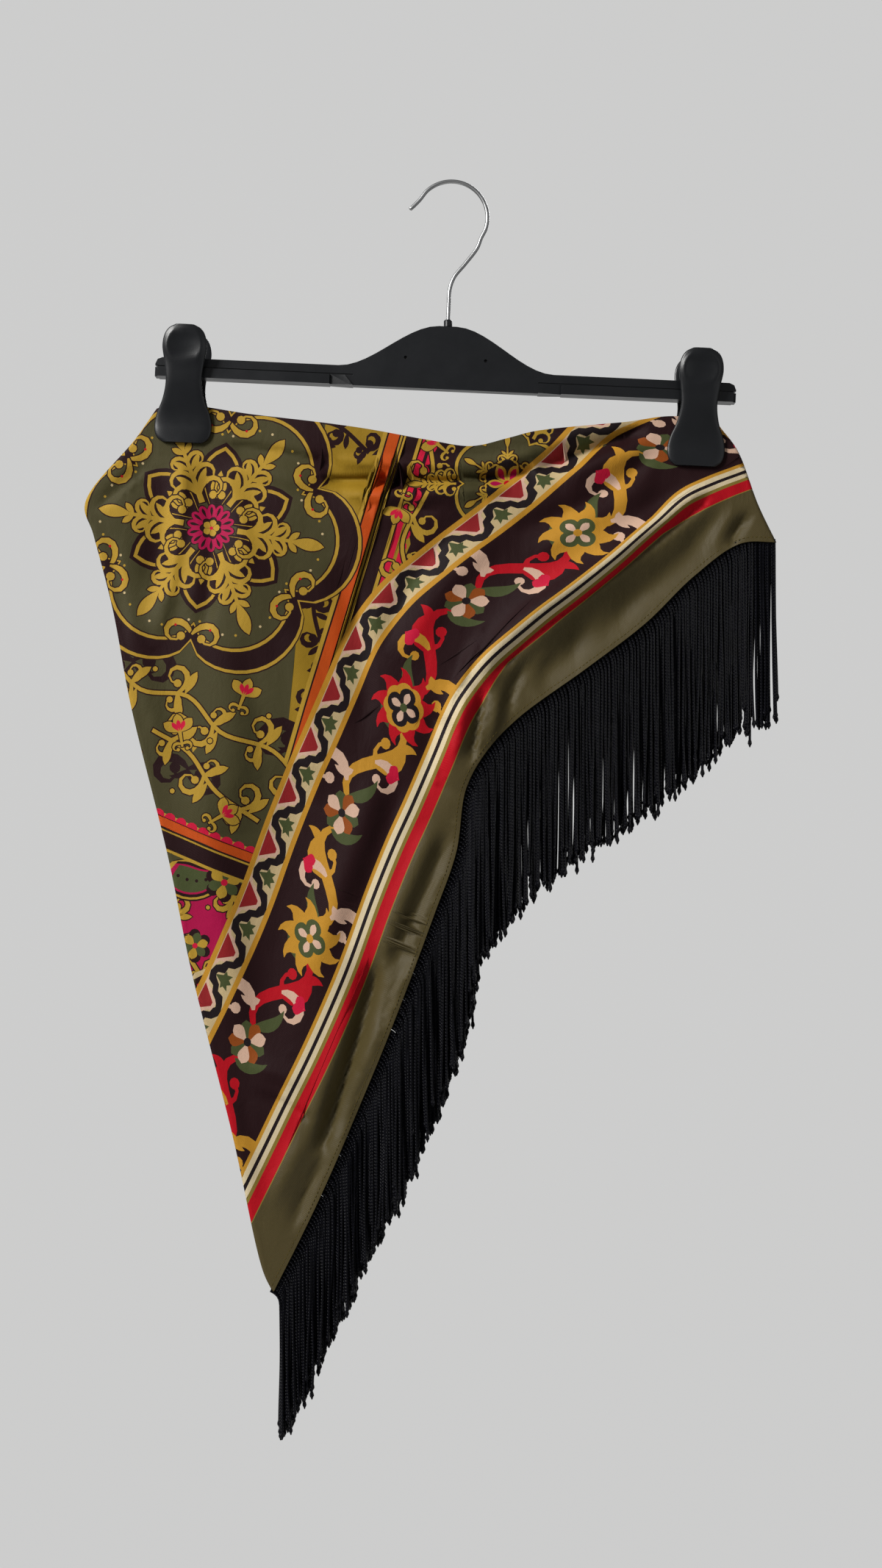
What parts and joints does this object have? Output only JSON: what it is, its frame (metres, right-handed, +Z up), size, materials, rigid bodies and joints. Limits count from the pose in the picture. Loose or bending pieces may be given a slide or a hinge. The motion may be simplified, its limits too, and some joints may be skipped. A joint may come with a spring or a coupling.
{
  "type": "fringed scarf on a clip hanger",
  "caption": "Silk square with a long corded fringe, folded corner to corner and hung by its folded edge from a hanger with clips and a wire hook.",
  "frame": {"origin": "seat of the hook: the inner top of its bend, where it hangs", "axes": "+Z up, +X along the hanger to the right as seen from the front, +Y away from the viewer, behind the scarf"},
  "size_m": [0.5012, 0.0336, 0.9152],
  "materials": {
    "silk_print": "printed silk twill with a soft satin sheen, olive ground with gold, plum and red ornament",
    "fringe_cord": "black twisted viscose cord",
    "hanger_plastic": "black moulded plastic with a fine satin grain",
    "hook_steel": "bright plated steel wire"
  },
  "bodies": {
    "root": {"scarf_cloth": "silk_print", "corner_flap": "silk_print", "fringe_front_lower": "fringe_cord", "fringe_front_upper": "fringe_cord", "fringe_back_lower": "fringe_cord", "fringe_back_upper": "fringe_cord", "hanger_bar": "hanger_plastic", "clip_left_front": "hanger_plastic", "clip_left_back": "hanger_plastic", "clip_left_saddle": "hanger_plastic", "clip_right_front": "hanger_plastic", "clip_right_back": "hanger_plastic", "clip_right_saddle": "hanger_plastic", "hook_wire": "hook_steel", "hook_ferrule": "hanger_plastic"}
  },
  "joints": []
}
